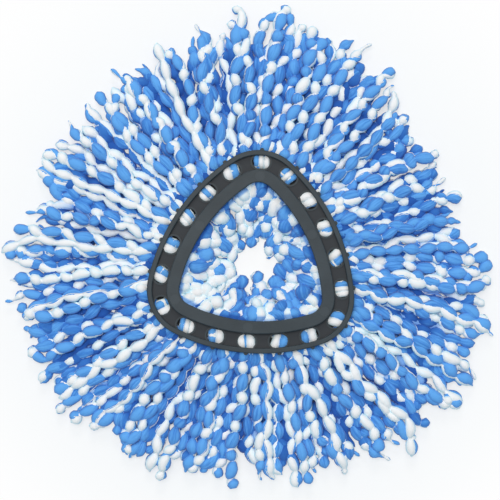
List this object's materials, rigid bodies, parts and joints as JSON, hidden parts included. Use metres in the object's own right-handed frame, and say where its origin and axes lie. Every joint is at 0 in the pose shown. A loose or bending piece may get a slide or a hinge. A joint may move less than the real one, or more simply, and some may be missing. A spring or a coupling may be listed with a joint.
{
  "type": "spin mop head",
  "caption": "Triangular moulded ring with a fan of blue and white beaded microfibre strands, a refill that clips under the handle plate of a spin mop.",
  "frame": {"origin": "centre of the triangular opening, on the plane of the seat (top of the inner band)", "axes": "+Z along the spin axis, from the floor towards the handle; one corner of the triangle along +Y"},
  "size_m": [0.3191, 0.3193, 0.025],
  "materials": {
    "frame_plastic": "satin moulded polypropylene, dark grey",
    "clamp_plastic": "satin moulded polypropylene, dark grey",
    "yarn": "soft twisted microfibre yarn, blue and white"
  },
  "bodies": {
    "root": {"frame": "frame_plastic", "clamp_ring": "clamp_plastic", "strand_bundle_01": "yarn", "strand_bundle_02": "yarn", "strand_bundle_03": "yarn", "strand_bundle_04": "yarn", "strand_bundle_05": "yarn", "strand_bundle_06": "yarn", "strand_bundle_07": "yarn", "strand_bundle_08": "yarn", "strand_bundle_09": "yarn", "strand_bundle_10": "yarn", "strand_bundle_11": "yarn", "strand_bundle_12": "yarn", "strand_bundle_13": "yarn", "strand_bundle_14": "yarn", "strand_bundle_15": "yarn", "strand_bundle_16": "yarn", "strand_bundle_17": "yarn", "strand_bundle_18": "yarn"}
  },
  "joints": []
}
